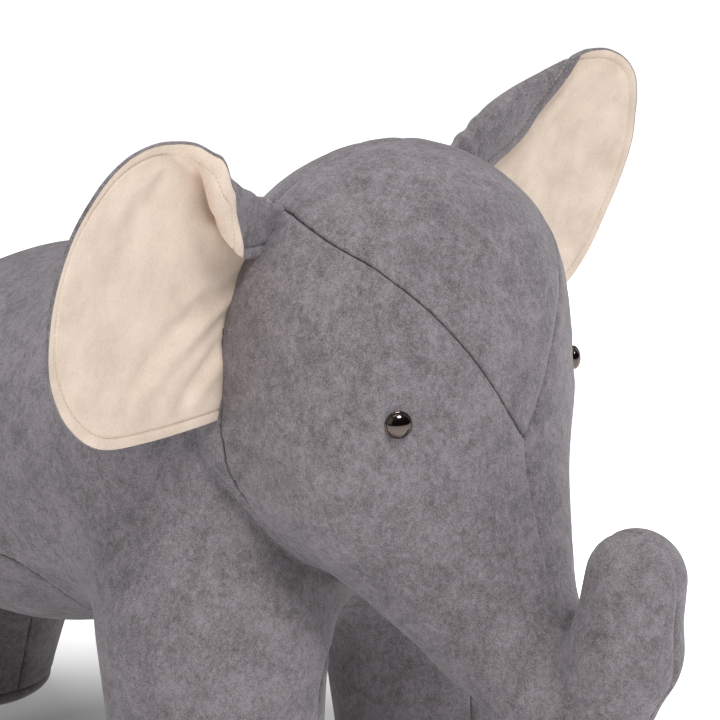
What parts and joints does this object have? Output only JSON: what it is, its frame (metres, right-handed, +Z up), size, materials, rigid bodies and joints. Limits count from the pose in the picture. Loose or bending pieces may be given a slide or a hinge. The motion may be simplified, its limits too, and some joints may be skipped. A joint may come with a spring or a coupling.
{
  "type": "stuffed elephant",
  "caption": "Sit-on stuffed elephant that stands on stiff legs, with wide cream-lined ears, glossy dome eyes, a forward-curled trunk and a sewn velour cover over foam.",
  "frame": {"origin": "on the floor under the middle of the whole toy", "axes": "+Z up from the soles, -Y the way the animal faces, +X to the animal's left"},
  "size_m": [0.4956, 0.7428, 0.539],
  "materials": {
    "grey_velour": "soft mottled short-pile velour",
    "cream_velour": "smooth cream suede cloth",
    "fibre": "loose white fibre filling",
    "foam": "open-cell cushion foam",
    "plywood": "sanded, unfinished",
    "beech": "turned, unfinished",
    "zinc": "zinc plated",
    "black_nickel": "polished, dark metallic"
  },
  "bodies": {
    "animal": {"seat_board": "plywood", "front_rail": "plywood", "rear_rail": "plywood", "neck_board": "plywood", "leg_post_front_right": "beech", "leg_post_front_left": "beech", "leg_post_rear_right": "beech", "leg_post_rear_left": "beech", "frame_bolts": "zinc", "rail_screws": "zinc", "body_foam_right": "foam", "body_foam_left": "foam", "leg_foam_front_right": "foam", "leg_foam_front_left": "foam", "leg_foam_rear_right": "foam", "leg_foam_rear_left": "foam", "head_stuffing": "fibre", "trunk_stuffing": "fibre", "body_cover": "grey_velour", "belly_cover": "grey_velour", "sole_front_right": "grey_velour", "sole_front_left": "grey_velour", "sole_rear_right": "grey_velour", "sole_rear_left": "grey_velour", "crown_gusset": "grey_velour", "head_side_cover_right": "grey_velour", "head_side_cover_left": "grey_velour", "head_back_cover_right": "grey_velour", "head_back_cover_left": "grey_velour", "eye_right": "black_nickel", "eye_left": "black_nickel", "eye_washer_right": "zinc", "eye_washer_left": "zinc"},
    "ear_right": {"ear_lining_right": "cream_velour", "ear_wadding_right": "fibre", "ear_back_right": "grey_velour"},
    "ear_left": {"ear_lining_left": "cream_velour", "ear_wadding_left": "fibre", "ear_back_left": "grey_velour"},
    "tail": {"tail_stuffing": "fibre", "tail_cover": "grey_velour"}
  },
  "joints": [
    {"name": "ear_right_flap", "type": "hinge", "parent": "animal", "child": "ear_right", "pos_m": [-0.099, -0.1495, 0.419], "axis": [-0.1208, 0.1107, -0.9865], "range_deg": [-20, 30], "stiffness_Nm_per_rad": 0.3},
    {"name": "ear_left_flap", "type": "hinge", "parent": "animal", "child": "ear_left", "pos_m": [0.099, -0.1495, 0.419], "axis": [-0.1208, -0.1107, 0.9865], "range_deg": [-20, 30], "stiffness_Nm_per_rad": 0.3},
    {"name": "tail_swing", "type": "hinge", "parent": "animal", "child": "tail", "pos_m": [0, 0.339, 0.306], "axis": [1, 0, 0], "range_deg": [0, 60]}
  ]
}
